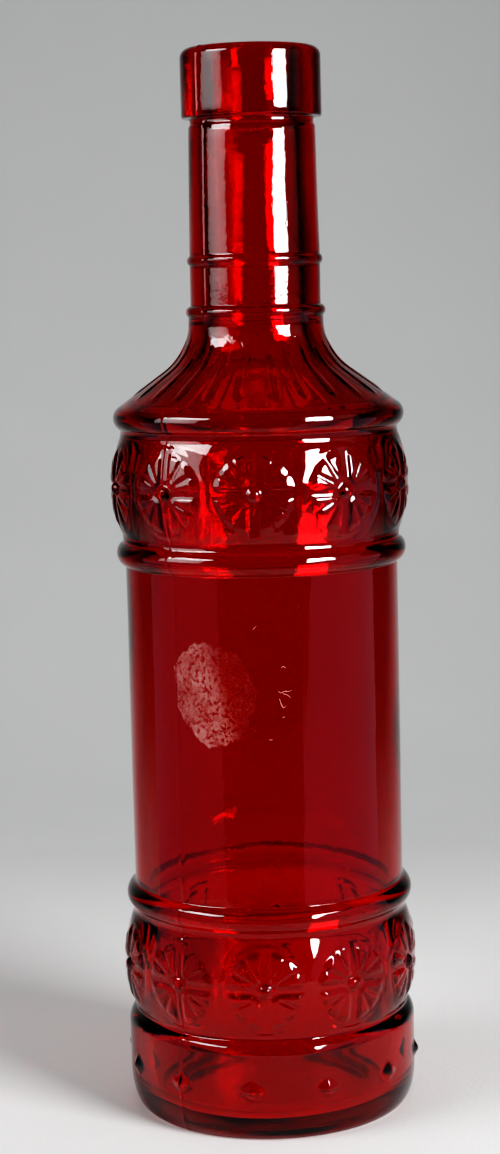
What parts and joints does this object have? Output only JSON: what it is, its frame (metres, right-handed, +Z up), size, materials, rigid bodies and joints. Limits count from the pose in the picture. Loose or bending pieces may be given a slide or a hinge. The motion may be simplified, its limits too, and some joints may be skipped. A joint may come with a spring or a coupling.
{
  "type": "glass bottle",
  "caption": "Moulded ruby glass bottle with an open cork mouth, ribbed shoulder, bands of flower medallions and a studded heel.",
  "frame": {"origin": "centre of the base, on the plane that the bottle stands on", "axes": "+Z up the bottle's axis to the mouth; -Y is the front, the side with the dried gum patch"},
  "size_m": [0.0726, 0.0734, 0.2576],
  "materials": {
    "ruby_glass": "clear ruby red, glossy, fire-polished mould surface",
    "dried_gum": "thin milky film of dried label gum"
  },
  "bodies": {
    "root": {"bottle_glass": "ruby_glass", "label_residue": "dried_gum"}
  },
  "joints": []
}
